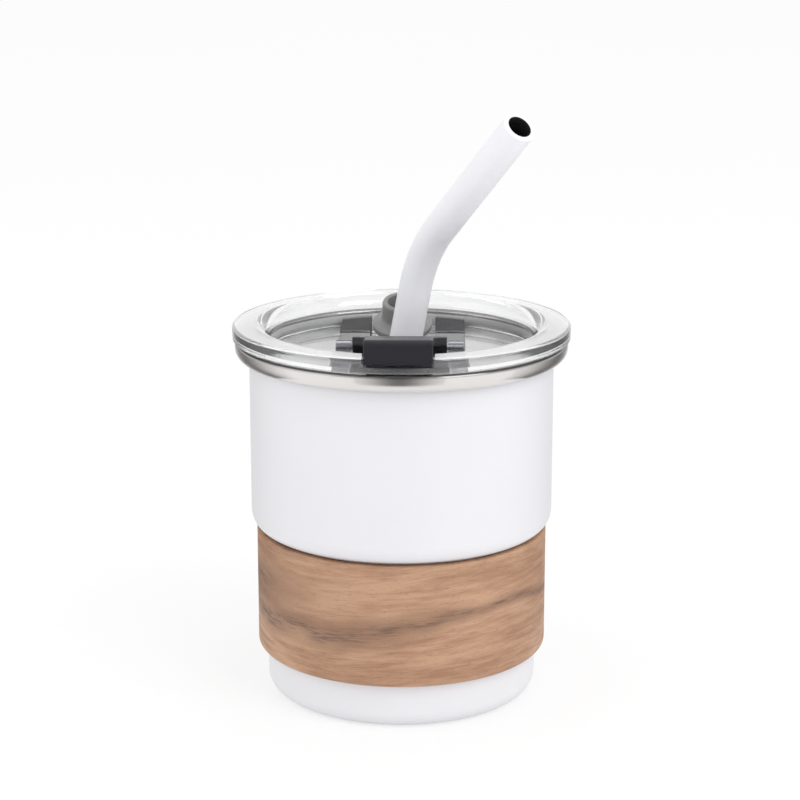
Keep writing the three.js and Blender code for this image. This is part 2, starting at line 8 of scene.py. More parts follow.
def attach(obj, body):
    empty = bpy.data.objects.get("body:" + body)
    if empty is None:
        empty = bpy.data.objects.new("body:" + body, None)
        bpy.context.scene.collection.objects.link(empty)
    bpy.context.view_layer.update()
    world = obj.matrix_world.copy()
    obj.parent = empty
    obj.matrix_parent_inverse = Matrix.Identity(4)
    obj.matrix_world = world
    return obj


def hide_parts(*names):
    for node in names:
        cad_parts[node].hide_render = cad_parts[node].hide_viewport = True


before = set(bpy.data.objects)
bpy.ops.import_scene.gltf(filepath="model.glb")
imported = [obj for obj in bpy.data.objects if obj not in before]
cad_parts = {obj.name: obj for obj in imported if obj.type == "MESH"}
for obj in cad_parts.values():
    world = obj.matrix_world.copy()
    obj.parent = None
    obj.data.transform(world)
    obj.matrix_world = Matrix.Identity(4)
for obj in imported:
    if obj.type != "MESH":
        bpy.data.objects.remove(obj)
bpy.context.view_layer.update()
scene = bpy.context.scene
mm = 0.001
hairWidth = 0.002  # corners closer than this are one corner
plainCrease = 32  # edges that turn by more than this, in degrees, stay sharp
print("parts loaded:", len(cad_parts))


# camera

cameraView = {
    "place": (10.35, -538.87, 209.96),
    "tilt": 75.80,  # degrees up from straight down
    "turn": 1.1,  # degrees to the left
    "lens": 100.9,
    "sensor": 36.0,
    "shift": -0.00188,
    "nearest": 10.0,  # nothing nearer than this is drawn
}


def makeCamera(view):
    data = bpy.data.cameras.new("photoCamera")
    data.lens = view["lens"]
    data.sensor_width = view["sensor"]
    data.shift_x = view["shift"]
    data.clip_start = view["nearest"] * mm
    camera = bpy.data.objects.new("photoCamera", data)
    camera.location = Vector(view["place"]) * mm
    camera.rotation_euler = (radians(view["tilt"]), 0, radians(view["turn"]))
    scene.collection.objects.link(camera)
    scene.camera = camera


makeCamera(cameraView)
print("camera in place")


# shape helpers

def metres(lengths):
    return [length * mm for length in lengths]


def roundedLine(corners, steps=6):
    # corners are (x, y) or (x, y, radius), and a radius turns its corner into an arc
    points = []
    count = len(corners)
    for i, corner in enumerate(corners):
        here = Vector(corner[:2])
        radius = corner[2] if len(corner) > 2 else 0
        if radius <= 0:
            points.append(here)
            continue
        back = (Vector(corners[i - 1][:2]) - here).normalized()
        ahead = (Vector(corners[(i + 1) % count][:2]) - here).normalized()
        half = back.angle(ahead) / 2
        centre = here + (back + ahead).normalized() * (radius / sin(half))
        start = here + back * (radius / tan(half)) - centre
        side = 1 if back.y * ahead.x - back.x * ahead.y > 0 else -1
        for step in range(steps + 1):
            points.append(centre + Matrix.Rotation(side * (pi - 2 * half) * step / steps, 2) @ start)
    return points


def arcLine(centre, radii, start, end, steps=8):
    # points on part of an ellipse, with its angles in degrees
    angles = [radians(start + (end - start) * step / steps) for step in range(steps + 1)]
    return [Vector((centre[0] + radii[0] * cos(a), centre[1] + radii[1] * sin(a))) for a in angles]


def bridge(shape, low, high, slot=0):
    # quads between two rings of corners; a ring of one corner is a pole
    count = max(len(low), len(high))
    for k in range(count):
        following = (k + 1) % count
        loop = [low[k % len(low)], low[following % len(low)], high[following % len(high)], high[k % len(high)]]
        corners = list(dict.fromkeys(loop))
        if len(corners) > 2:
            shape.faces.new(corners).material_index = slot


def evenAngles(sides):
    return [2 * pi * k / sides for k in range(sides)]


def turnedShape(outline, sides=192):
    # an outline of radius and height, closed or from axis to axis, turned round Z
    shape = bmesh.new()
    angles = evenAngles(sides)
    rings = []
    for radius, height in outline:
        around = angles if radius > hairWidth else angles[:1]
        rings.append([shape.verts.new((radius * mm * cos(a), radius * mm * sin(a), height * mm)) for a in around])
    closed = len(rings[0]) > 1 and len(rings[-1]) > 1
    for low, high in zip(rings, rings[1:] + (rings[:1] if closed else [])):
        bridge(shape, low, high)
    return shape


def drawnShape(outline, low, high, along="z"):
    # a flat outline drawn out from one level to another, up Z or across X
    shape = bmesh.new()
    ends = []
    for level in (low, high):
        places = [(p[0], p[1], level) if along == "z" else (level, p[0], p[1]) for p in outline]
        ends.append([shape.verts.new(Vector(place) * mm) for place in places])
    bridge(shape, *ends)
    for end in ends:
        shape.faces.new(end)
    return shape


def circleLine(x, y, radius, sides=48):
    return [Vector((x + radius * cos(a), y + radius * sin(a))) for a in evenAngles(sides)]


def boxLine(left, right, low, high, radius=0, steps=6):
    corners = [(left, low, radius), (right, low, radius), (right, high, radius), (left, high, radius)]
    return roundedLine(corners, steps)


def soften(shape, width, choose=None, limit=40, segments=3):
    # rounds the edges that turn by more than the limit, in degrees
    bmesh.ops.recalc_face_normals(shape, faces=shape.faces)
    edges = [e for e in shape.edges if len(e.link_faces) == 2 and e.calc_face_angle() > radians(limit)]
    if choose:
        edges = [e for e in edges if choose(e)]
    bmesh.ops.bevel(shape, geom=edges, offset=width * mm, segments=segments, profile=0.5,
                    affect="EDGES", clamp_overlap=True)
    return shape


def edgeAbove(height):
    return lambda edge: min(v.co.z for v in edge.verts) > height * mm


def settle(shape, name, crease=plainCrease):
    # the finished mesh as an object, smooth but for its sharp edges
    bmesh.ops.recalc_face_normals(shape, faces=shape.faces)
    mesh = bpy.data.meshes.new(name)
    shape.to_mesh(mesh)
    shape.free()
    piece = bpy.data.objects.new(name, mesh)
    scene.collection.objects.link(piece)
    smooth(piece, crease)
    return piece


def tool(outline, low, high, along="z"):
    # a drawn shape that is joined to a piece or cut from it
    return settle(drawnShape(outline, low, high, along), "tool")


def smooth(piece, crease):
    for face in piece.data.polygons:
        face.use_smooth = True
    piece.data.set_sharp_from_angle(angle=radians(crease))


def carve(piece, tools, operation, crease=plainCrease):
    # joins the tools to the piece, or cuts them from it
    for other in tools:
        step = piece.modifiers.new("carve", "BOOLEAN")
        step.operation = operation
        step.solver = "EXACT"
        step.object = other
    bpy.context.view_layer.update()
    result = bpy.data.meshes.new_from_object(piece.evaluated_get(bpy.context.evaluated_depsgraph_get()))
    piece.modifiers.clear()
    piece.data = result
    result.name = piece.name
    for other in tools:
        bpy.data.objects.remove(other)
    shape = bmesh.new()
    shape.from_mesh(result)
    bmesh.ops.remove_doubles(shape, verts=shape.verts, dist=hairWidth * mm)
    wide = [face for face in shape.faces if len(face.verts) > 4]
    bmesh.ops.triangulate(shape, faces=wide, ngon_method="BEAUTY")
    bmesh.ops.dissolve_degenerate(shape, edges=shape.edges, dist=hairWidth * mm)
    shape.to_mesh(result)
    shape.free()
    smooth(piece, crease)


def evenNormals(piece):
    step = piece.modifiers.new("evenNormals", "WEIGHTED_NORMAL")
    step.keep_sharp = True


def dress(piece, body, slot, nodes, *surfaces):
    for surface in surfaces:
        piece.data.materials.append(surface)
    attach(piece, body)
    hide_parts(*nodes)


# node helpers

def fill(tree, node, inputs):
    # a socket is linked to its input, and a plain value is set on it
    for key, value in inputs.items():
        if isinstance(value, bpy.types.NodeSocket):
            tree.links.new(value, node.inputs[key])
        else:
            node.inputs[key].default_value = value


def put(tree, kind, inputs=None, **settings):
    node = tree.nodes.new(kind)
    for key, value in settings.items():
        setattr(node, key, value)
    fill(tree, node, inputs or {})
    return node


def maths(tree, operation, first, second=0.0):
    return put(tree, "ShaderNodeMath", {0: first, 1: second}, operation=operation).outputs[0]


def spread(tree, value, fromLow, fromHigh, toLow, toHigh):
    inputs = {"From Min": fromLow, "From Max": fromHigh, "To Min": toLow, "To Max": toHigh, "Value": value}
    return put(tree, "ShaderNodeMapRange", inputs).outputs["Result"]


def product(tree, first, *others):
    for other in others:
        first = maths(tree, "MULTIPLY", first, other)
    return first


def plus(tree, first, second):
    return maths(tree, "ADD", first, second)


def bell(tree, value):
    # 1 in the middle, falling off smoothly to both sides
    return maths(tree, "EXPONENT", product(tree, value, value, -1.0))


def ramp(tree, value, places, colours):
    # from one colour to another, between two levels of the value
    node = put(tree, "ShaderNodeValToRGB", {"Fac": value})
    for element, place, colour in zip(node.color_ramp.elements, places, colours):
        element.position = place
        element.color = (*colour, 1)
    return node.outputs["Color"]


def mixColour(tree, share, first, second):
    # the colour sockets of this node are its inputs 6 and 7 and its output 2
    first, second = ((*colour, 1) if isinstance(colour, tuple) else colour for colour in (first, second))
    return put(tree, "ShaderNodeMix", {0: share, 6: first, 7: second}, data_type="RGBA").outputs[2]


def partPlace(tree):
    place = put(tree, "ShaderNodeTexCoord").outputs["Object"]
    return put(tree, "ShaderNodeSeparateXYZ", {"Vector": place}).outputs


def turnedPlace(tree):
    # distance from the axis, and height
    part = partPlace(tree)
    squares = [product(tree, part[axis], part[axis]) for axis in ("X", "Y")]
    return maths(tree, "SQRT", plus(tree, *squares)), part["Z"]


def newGroup(name, inputs, outputs):
    group = bpy.data.node_groups.new(name, "ShaderNodeTree")
    for label, value in inputs.items():
        group.interface.new_socket(name=label, in_out="INPUT", socket_type="NodeSocketFloat").default_value = value
    for label, kind in outputs.items():
        group.interface.new_socket(name=label, in_out="OUTPUT", socket_type=kind)
    return group, group.nodes.new("NodeGroupInput"), group.nodes.new("NodeGroupOutput")


def useGroup(tree, group, **values):
    node = put(tree, "ShaderNodeGroup", node_tree=group)
    fill(tree, node, values)
    return node.outputs


def newSurface(name):
    surface = bpy.data.materials.new(name)
    surface.use_nodes = True
    return surface, surface.node_tree, surface.node_tree.nodes["Principled BSDF"]


def relief(tree, height, look):
    inputs = {"Height": height, "Strength": look["relief"], "Distance": look["depth"] * mm}
    return put(tree, "ShaderNodeBump", inputs).outputs["Normal"]


# shared effects

def makeFineSkin():
    # the fine texture of a moulded or sprayed skin, and slow cloudy changes over it
    group, given, result = newGroup("fineSkin", {"Grain": 900.0, "Cloud": 40.0},
                                    {"Texture": "NodeSocketFloat", "Cloudiness": "NodeSocketFloat"})
    place = put(group, "ShaderNodeTexCoord").outputs["Object"]
    fine = put(group, "ShaderNodeTexNoise", {"Vector": place, "Scale": given.outputs["Grain"], "Detail": 2.0})
    slow = put(group, "ShaderNodeTexNoise", {"Vector": place, "Scale": given.outputs["Cloud"], "Detail": 3.0})
    fill(group, result, {"Texture": fine.outputs["Fac"], "Cloudiness": slow.outputs["Fac"]})
    return group


def makeTurnedBrushing():
    # fine brushed lines that run round the axis, on walls and on flat rings alike
    group, given, result = newGroup("turnedBrushing", {"Fineness": 2200.0, "Breaks": 5.0},
                                    {"Line": "NodeSocketFloat"})
    part = partPlace(group)
    nearAxis = 0.01 * mm  # keeps the division below from failing on the axis
    radius = maths(group, "MAXIMUM", turnedPlace(group)[0], nearAxis)
    across = [product(group, maths(group, "DIVIDE", part[axis], radius), given.outputs["Breaks"])
              for axis in ("X", "Y")]
    height = product(group, part["Z"], given.outputs["Fineness"])
    vector = put(group, "ShaderNodeCombineXYZ", {"X": across[0], "Y": across[1], "Z": height}).outputs["Vector"]
    outward = product(group, radius, given.outputs["Fineness"])
    lines = put(group, "ShaderNodeTexNoise", {"Vector": vector, "W": outward, "Scale": 1.0, "Detail": 3.0},
                noise_dimensions="4D")
    fill(group, result, {"Line": lines.outputs["Fac"]})
    return group


fineSkin = makeFineSkin()
turnedBrushing = makeTurnedBrushing()
print("shared effects ready")


# surfaces

noiseSpan = (0.3, 0.7)  # nearly all of a noise texture lies between these levels
quarterTurn = 0.25  # turns the shader's stretched highlights across the brushed lines
plainMoulded = {"bend": 1.46, "glow": 0.0, "glowDepth": 1.0}  # unless a look says otherwise


def mouldedSurface(name, look):
    # satin plastics, silicones and the sprayed coat, which differ only in their values
    look = {**plainMoulded, **look}
    surface, tree, shader = newSurface(name)
    skin = useGroup(tree, fineSkin, Grain=look["grain"], Cloud=look["cloud"])
    fill(tree, shader, {
        "Base Color": ramp(tree, skin["Cloudiness"], noiseSpan, (look["colour"], look["second"])),
        "Roughness": spread(tree, skin["Texture"], *noiseSpan, *look["roughness"]),
        "IOR": look["bend"],
        "Subsurface Weight": look["glow"],
        "Subsurface Scale": look["glowDepth"] * mm,
        "Normal": relief(tree, skin["Texture"], look),
    })
    return surface


def shadeLiner(tree, shader, look, colour, roughness):
    # the satin drink side, a band of painted shade near the mouth, and painted shade where the rolled edge turns
    # under the lid
    radius, height = turnedPlace(tree)
    inside, outside = metres(look["lip"])
    inCup = maths(tree, "LESS_THAN", radius, inside)
    low, high = metres(look["satin"])
    satin = product(tree, inCup, spread(tree, height, low, high, 1.0, 0.0))
    dull = product(tree, satin, look["satinDull"])
    fill(tree, shader, {"Metallic": maths(tree, "SUBTRACT", 1.0, dull)})
    roughness = maths(tree, "MAXIMUM", roughness, product(tree, satin, look["satinRoughness"]))
    colour = mixColour(tree, satin, colour, look["satinColour"])

    # painted shade: a band that darkens the inside of the mouth, round the lid's plug
    low, middle, high = metres(look["paintedMouthShade"])
    rising = spread(tree, height, low, middle, 0.0, look["paintedMouthShadeDepth"])
    falling = spread(tree, height, middle, high, look["paintedMouthShadeDepth"], 0.0)
    paintedMouthShade = product(tree, inCup, maths(tree, "MINIMUM", rising, falling))
    colour = mixColour(tree, paintedMouthShade, colour, look["shadeColour"])

    # painted shade on the rolled edge, inside and outside, under the lid
    low, high = metres(look["paintedLipShade"])
    innerShade, outerShade = look["paintedLipShadeDepth"]
    innerRim = product(tree, inCup, innerShade)
    outerRim = product(tree, maths(tree, "GREATER_THAN", radius, outside), outerShade)
    rims = maths(tree, "MAXIMUM", innerRim, outerRim)
    paintedLipShade = product(tree, rims, spread(tree, height, low, high, 0.0, 1.0))
    return mixColour(tree, paintedLipShade, colour, look["shadeColour"]), roughness


def steelSurface(name, look):
    surface, tree, shader = newSurface(name)
    line = useGroup(tree, turnedBrushing, Fineness=look["fineness"], Breaks=look["breaks"])["Line"]
    cloud = useGroup(tree, fineSkin, Cloud=look["cloud"])["Cloudiness"]
    brushed = product(tree, line, look["lineShare"])
    tone = plus(tree, brushed, product(tree, cloud, 1 - look["lineShare"]))
    colour = ramp(tree, tone, noiseSpan, (look["colour"], look["second"]))
    roughness = spread(tree, line, *noiseSpan, *look["roughness"])
    fill(tree, shader, {"Metallic": 1.0})
    if "satin" in look:
        colour, roughness = shadeLiner(tree, shader, look, colour, roughness)
    circling = put(tree, "ShaderNodeTangent", direction_type="RADIAL", axis="Z")
    fill(tree, shader, {
        "Roughness": roughness,
        "Base Color": colour,
        "Anisotropic": look["stretch"],
        "Anisotropic Rotation": quarterTurn,
        "Tangent": circling.outputs["Tangent"],
        "Normal": relief(tree, line, look),
    })
    return surface


coatLook = {"colour": (0.75, 0.75, 0.775), "second": (0.77, 0.77, 0.795), "grain": 1400.0, "cloud": 25.0,
            "roughness": (0.36, 0.46), "relief": 0.12, "depth": 0.05}
linerLook = {"colour": (0.74, 0.715, 0.70), "second": (0.79, 0.765, 0.75), "fineness": 9000.0, "breaks": 4.0,
             "cloud": 60.0, "lineShare": 0.7, "roughness": (0.16, 0.22), "stretch": 0.85,
             "relief": 0.03, "depth": 0.01,
             "satin": (88.2, 88.6),  # below these heights the drink side is blasted to a satin grey
             "satinColour": (0.90, 0.89, 0.88), "satinRoughness": 0.5, "satinDull": 0.85,
             "paintedMouthShade": (84.4, 85.7, 88.0),  # a band of painted shade near the mouth, darkest at its middle: its foot, middle and top
             "paintedMouthShadeDepth": 0.6,
             "paintedLipShade": (88.6, 89.2),  # above these the rolled edge carries painted shade where it turns under the lid
             "paintedLipShadeDepth": (0.5, 0.9),  # inside and outside
             "shadeColour": (0.05, 0.05, 0.05),
             "lip": (35.4, 40.3)}  # its bright flat top, by radius
blackLook = {"colour": (0.016, 0.016, 0.020), "second": (0.021, 0.021, 0.026), "grain": 2600.0, "cloud": 120.0,
             "roughness": (0.32, 0.44), "relief": 0.25, "depth": 0.04, "bend": 1.4}
greyLook = {"colour": (0.24, 0.24, 0.235), "second": (0.29, 0.29, 0.28), "grain": 1800.0, "cloud": 150.0,
            "roughness": (0.42, 0.58), "relief": 0.10, "depth": 0.03, "glow": 0.25, "glowDepth": 1.5}
gasketLook = {"colour": (0.70, 0.71, 0.72), "second": (0.76, 0.77, 0.78), "grain": 1500.0, "cloud": 90.0,
              "roughness": (0.45, 0.60), "relief": 0.08, "depth": 0.03, "glow": 0.3, "glowDepth": 1.5}
strawLook = {"colour": (0.84, 0.84, 0.87), "second": (0.87, 0.87, 0.90), "grain": 1700.0, "cloud": 60.0,
             "roughness": (0.38, 0.50), "relief": 0.08, "depth": 0.03}
# painted shade: the straw's inside is near black, as shade deep in the bore
paintedBoreShadeLook = {"colour": (0.010, 0.010, 0.011), "second": (0.016, 0.016, 0.017), "grain": 1500.0, "cloud": 80.0,
            "roughness": (0.55, 0.70), "relief": 0.08, "depth": 0.03}
beadLook = {"colour": (0.05, 0.052, 0.056), "second": (0.075, 0.078, 0.084), "grain": 600.0, "cloud": 300.0,
            "roughness": (0.18, 0.30), "relief": 0.15, "depth": 0.04}
pinLook = {"colour": (0.46, 0.46, 0.47), "second": (0.52, 0.52, 0.53), "fineness": 3500.0, "breaks": 9.0,
           "cloud": 60.0, "lineShare": 0.7, "roughness": (0.26, 0.36), "stretch": 0.2,
           "relief": 0.05, "depth": 0.01}

coatSurface = mouldedSurface("whiteCoat", coatLook)
linerSurface = steelSurface("brushedSteel", linerLook)
blackSurface = mouldedSurface("blackPlastic", blackLook)
greySurface = mouldedSurface("greySilicone", greyLook)
gasketSurface = mouldedSurface("clearSilicone", gasketLook)
strawSurface = mouldedSurface("whiteStraw", strawLook)
paintedBoreShadeSurface = mouldedSurface("strawBorePaintedShade", paintedBoreShadeLook)
beadSurface = mouldedSurface("sealBead", beadLook)
pinSurface = steelSurface("pinSteel", pinLook)

clearLook = {
    "colour": (0.975, 0.978, 0.985), "clear": 0.97, "gloss": 1.0, "bend": 1.49,
    "roughness": (0.015, 0.05), "cloud": 70.0, "cloudSpan": (0.35, 0.7), "relief": 0.02, "depth": 0.05,
    "shadow": (0.93, 0.94, 0.95),  # the light it lets through into its shadow
    "deck": (15.0, 15.75, 86.4, 88.7),  # half widths of the plain top and of its edge, then floor and top
    "deckBack": 11.4,  # the step up to the back part stays clear
    "deckTone": (0.06, 0.06, 0.066), "edgeTone": (0.04, 0.04, 0.044),
    "cheek": (11.4, 15.3, -20.0, 1.75, 93.4),  # across, from and to, then middle, half depth and top
    "cheekTone": (0.60, 0.60, 0.63),
}


def clearSurface(look):
    surface, tree, shader = newSurface("clearPlastic")
    cloud = useGroup(tree, fineSkin, Cloud=look["cloud"])["Cloudiness"]
    part = partPlace(tree)
    across = maths(tree, "ABSOLUTE", part["X"])

    def under(value, limit):
        return maths(tree, "LESS_THAN", value, limit)

    def over(value, limit):
        return maths(tree, "GREATER_THAN", value, limit)

    # the deck and its cheeks are tinted darker, and lose their coat
    inner, outer, low, high = metres(look["deck"])
    onDeck = product(tree, over(part["Z"], low), under(part["Z"], high), under(across, outer),
                     under(part["Y"], look["deckBack"] * mm))
    tone = mixColour(tree, over(across, inner), look["deckTone"], look["edgeTone"])
    colour = mixColour(tree, onDeck, look["colour"], tone)

    near, far, middle, depth, top = metres(look["cheek"])
    aside = maths(tree, "ABSOLUTE", maths(tree, "SUBTRACT", part["Y"], middle))
    onCheek = product(tree, over(across, near), under(across, far), under(aside, depth),
                      over(part["Z"], high), under(part["Z"], top))
    tintedDark = maths(tree, "MAXIMUM", onDeck, onCheek)

    fill(tree, shader, {
        "Base Color": mixColour(tree, onCheek, colour, look["cheekTone"]),
        "IOR": look["bend"],
        "Transmission Weight": look["clear"],
        "Coat Weight": spread(tree, tintedDark, 0.0, 1.0, look["gloss"], 0.0),
        "Roughness": spread(tree, cloud, *look["cloudSpan"], *look["roughness"]),
        "Normal": relief(tree, cloud, look),
    })
    ray = put(tree, "ShaderNodeLightPath").outputs["Is Shadow Ray"]
    through = put(tree, "ShaderNodeBsdfTransparent", {"Color": (*look["shadow"], 1)})
    mix = put(tree, "ShaderNodeMixShader", {0: ray, 1: shader.outputs["BSDF"], 2: through.outputs["BSDF"]})
    fill(tree, tree.nodes["Material Output"], {"Surface": mix.outputs["Shader"]})
    return surface


lidSurface = clearSurface(clearLook)

restLook = {
    "colour": (0.030, 0.030, 0.033), "second": (0.042, 0.042, 0.045), "edge": (0.42, 0.42, 0.43),
    "fade": (28.8, 32.4),  # the radii over which the painted reflection grows pale towards the dish wall
    "shine": 0.15, "roughness": (0.48, 0.60), "grain": 1800.0, "cloud": 120.0, "relief": 0.08, "depth": 0.03,
}


def restSurface(look):
    # the dark back part of the lid's deck, either side of the stopper: its dark colour is a painted reflection of
    # the stopper in the steel behind
    surface, tree, shader = newSurface("paintedReflectionPlastic")
    skin = useGroup(tree, fineSkin, Grain=look["grain"], Cloud=look["cloud"])
    dark = ramp(tree, skin["Cloudiness"], noiseSpan, (look["colour"], look["second"]))
    near, far = metres(look["fade"])
    pale = spread(tree, turnedPlace(tree)[0], near, far, 0.0, 1.0)
    fill(tree, shader, {
        "Base Color": mixColour(tree, pale, dark, look["edge"]),
        "Roughness": spread(tree, skin["Texture"], *noiseSpan, *look["roughness"]),
        "Specular IOR Level": look["shine"],
        "Normal": relief(tree, skin["Texture"], look),
    })
    return surface


paintedReflectionSurface = restSurface(restLook)

woodLook = {
    "light": (0.51, 0.305, 0.19),
    "middle": (0.35, 0.185, 0.107),
    "dark": (0.145, 0.08, 0.052),
    "grains": {  # scale along and across the grain, detail, offset and bend
        "bands": (1.3, 150.0, 2.0, 3.0, 0.4),
        "lines": (3.0, 900.0, 4.0, 11.0, 0.2),
        "fibres": (9.0, 3200.0, 3.0, 23.0, 0.0),
        "pores": (26.0, 5200.0, 1.0, 37.0, 0.0),
        "drift": (2.0, 60.0, 2.0, 51.0, 0.0),
    },
    "toneShares": (0.45, 0.3, 0.25),  # of bands, lines and fibres
    "toneSpan": (0.41, 0.57),  # where their sum is the middle colour, and the light one
    "streakHeight": 26.4,  # the dark streak's middle, above the table
    "streakSwing": 3.6,  # how far it rises and falls round the band
    "streakWidths": (3.3, 1.2),
    "streakTurns": (0, 30),  # where it has those widths, in degrees from the front
    "streakDrift": 0.5,  # how far it wanders, as a share of its width
    "streakDark": 0.95,
    "grainEase": 0.6,  # how much flatter than the streak the grain runs
    "threadSpan": (0.85, 1.15), "threadLeast": 0.35,  # the lines and fibres show in the dark parts
    "patch": (31.0, 6.0, -78, 32),  # a broad darker patch: height and reach, then both in degrees round
    "poreSpan": (0.62, 0.74), "poreDark": 0.45,
    "joint": 0.15, "jointRadius": 36.0,  # half the width of the joint down the back
    "roughness": (0.62, 0.48), "relief": 0.25, "depth": 0.06, "lineRelief": 0.6,
}


def woodSurface(look):
    # a veneer wrapped round the cup: the grain runs round, with one dark streak that rises to the right
    surface, tree, shader = newSurface("acaciaWood")
    part = partPlace(tree)
    angle = maths(tree, "ARCTAN2", part["X"], product(tree, part["Y"], -1.0))
    wave = maths(tree, "SINE", product(tree, angle, 2.0))
    swing = product(tree, wave, look["streakSwing"] * mm)
    rise = maths(tree, "SUBTRACT", maths(tree, "SUBTRACT", part["Z"], look["streakHeight"] * mm), swing)
    level = plus(tree, rise, product(tree, swing, look["grainEase"]))

    def grain(along, across, detail, offset, bend):
        place = {"X": product(tree, angle, along), "Y": product(tree, level, across), "Z": offset}
        vector = put(tree, "ShaderNodeCombineXYZ", place).outputs["Vector"]
        inputs = {"Vector": vector, "Scale": 1.0, "Detail": detail, "Distortion": bend}
        return put(tree, "ShaderNodeTexNoise", inputs).outputs["Fac"]

    grains = {name: grain(*values) for name, values in look["grains"].items()}
    lines, fibres = grains["lines"], grains["fibres"]

    drift = spread(tree, grains["drift"], *noiseSpan, -look["streakDrift"], look["streakDrift"])
    turns = [radians(turn) for turn in look["streakTurns"]]
    widths = metres(look["streakWidths"])
    offLine = plus(tree, maths(tree, "DIVIDE", rise, spread(tree, angle, *turns, *widths)), drift)
    threads = spread(tree, plus(tree, lines, fibres), *look["threadSpan"], look["threadLeast"], 1.0)
    streak = product(tree, bell(tree, offLine), threads, look["streakDark"])
    patchHeight, patchReach, bearing, reachRound = look["patch"]
    above = maths(tree, "DIVIDE", maths(tree, "SUBTRACT", part["Z"], patchHeight * mm), patchReach * mm)
    beside = maths(tree, "DIVIDE", maths(tree, "SUBTRACT", angle, radians(bearing)), radians(reachRound))
    patch = product(tree, bell(tree, above), bell(tree, beside), threads)
    shade = maths(tree, "MAXIMUM", streak, patch)

    layers = zip((grains["bands"], lines, fibres), look["toneShares"])
    bandTone, lineTone, fibreTone = [product(tree, layer, share) for layer, share in layers]
    tone = plus(tree, bandTone, plus(tree, lineTone, fibreTone))
    plain = ramp(tree, tone, look["toneSpan"], (look["middle"], look["light"]))
    streaked = mixColour(tree, shade, plain, look["dark"])
    joint = maths(tree, "GREATER_THAN", maths(tree, "ABSOLUTE", angle), pi - look["joint"] / look["jointRadius"])
    hollows = maths(tree, "MAXIMUM", joint, spread(tree, grains["pores"], *look["poreSpan"], 0.0, look["poreDark"]))
    raised = plus(tree, fibres, product(tree, lines, look["lineRelief"]))
    fill(tree, shader, {
        "Base Color": mixColour(tree, hollows, streaked, look["dark"]),
        "Roughness": spread(tree, lines, *noiseSpan, *look["roughness"]),
        "Normal": relief(tree, maths(tree, "SUBTRACT", raised, hollows), look),
    })
    return surface


bandSurface = woodSurface(woodLook)
print("surfaces ready")


# cup

cupShell = {
    "body": 37.5, "sleeve": 33.7, "wall": 0.6, "top": 88.8,
    "shoulder": (42.3, 46.8), "corner": 4.0, "foot": 28.1, "footTop": 2.6,
}


def makeCupShell(body, sleeve, wall, top, shoulder, corner, foot, footTop):
    low, high = shoulder
    step, inner = body - sleeve, corner - wall
    cornerAt = (sleeve - corner, corner)
    line = [Vector((body, top))]
    line += arcLine((sleeve, high), (step, high - low), 0, -90, steps=16)
    line += arcLine(cornerAt, (corner, corner), 0, -90, steps=12)
    line += [Vector(p) for p in ((foot, 0), (foot, footTop), (foot + wall, footTop), (foot + wall, wall))]
    line += arcLine(cornerAt, (inner, inner), -90, 0, steps=8)
    line.append(Vector((sleeve - wall, low + wall)))
    line += arcLine((sleeve, high), (step - wall, high - low - wall), -90, 0, steps=12)
    line.append(Vector((body - wall, top)))
    return settle(turnedShape(line), "cupShell")


dress(makeCupShell(**cupShell), "cup", "white_coat", ["outer_shell"], coatSurface)

woodBand = {"inner": 33.96, "outer": 36.16, "bottom": 11.4, "top": 42.0, "lowerEdge": 1.6, "upperEdge": 0.5}


def makeWoodBand(inner, outer, bottom, top, lowerEdge, upperEdge):
    corners = [(inner, bottom), (outer, bottom, lowerEdge), (outer, top, upperEdge), (inner, top)]
    return settle(turnedShape(roundedLine(corners, steps=8)), "woodBand")


dress(makeWoodBand(**woodBand), "cup", "wood", ["wood_band"], bandSurface)

steelLiner = {
    "wall": 0.5, "floor": 6.1, "lower": 30.9, "mouth": 34.7, "corner": 2.0,
    "waist": (43.5, 49.5), "waistRound": 4.0, "lip": 41.0, "lipTop": 89.6, "lipBottom": 84.9,
    "entry": 1.0, "edge": 1.0, "roll": 3.0, "rollEnd": 37.8,
}


def makeSteelLiner(wall, floor, lower, mouth, corner, waist, waistRound, lip, lipTop, lipBottom,
                   entry, edge, roll, rollEnd):
    foot, head = waist
    corners = [
        (0, floor), (lower, floor, corner), (lower, foot, waistRound), (mouth, head, waistRound),
        (mouth, lipTop, entry), (lip, lipTop, edge), (lip, lipBottom, roll), (rollEnd, lipBottom),
        (rollEnd, lipBottom + wall), (lip - wall, lipBottom + wall, roll - wall),
        (lip - wall, lipTop - wall, edge - wall), (mouth + wall, lipTop - wall, entry - wall),
        (mouth + wall, head, waistRound), (lower + wall, foot, waistRound),
        (lower + wall, floor - wall, corner + wall), (0, floor - wall),
    ]
    return settle(turnedShape(roundedLine(corners, steps=8)), "steelLiner")


dress(makeSteelLiner(**steelLiner), "cup", "steel", ["inner_liner", "liner_floor", "rolled_lip"], linerSurface)

footPlate = {"rim": 27.8, "hole": 1.0, "bottom": 2.0, "top": 2.6, "edge": 0.15}


def makeFootPlate(rim, hole, bottom, top, edge):
    corners = [(hole, bottom, edge), (rim, bottom, edge), (rim, top), (hole, top)]
    return settle(turnedShape(roundedLine(corners, steps=3)), "footPlate")


dress(makeFootPlate(**footPlate), "cup", "steel", ["base_plate"], linerSurface)

sealBead = {"radius": 2.4, "bottom": 1.05, "top": 1.85, "stem": 0.85, "stemTop": 2.6}


def makeSealBead(radius, bottom, top, stem, stemTop):
    # a fused drop: a flat dome under the plate and a stem in its hole
    line = [Vector((0, bottom))] + arcLine((0, top), (radius, top - bottom), -90, 0, steps=10)[1:]
    line += [Vector(p) for p in ((stem, top), (stem, stemTop), (0, stemTop))]
    return settle(turnedShape(line, sides=48), "sealBead")


dress(makeSealBead(**sealBead), "cup", "seal_bead", ["vacuum_seal"], beadSurface)
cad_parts["vacuum_getter"].material_slots[0].material = linerSurface
print("cup made")


# lid

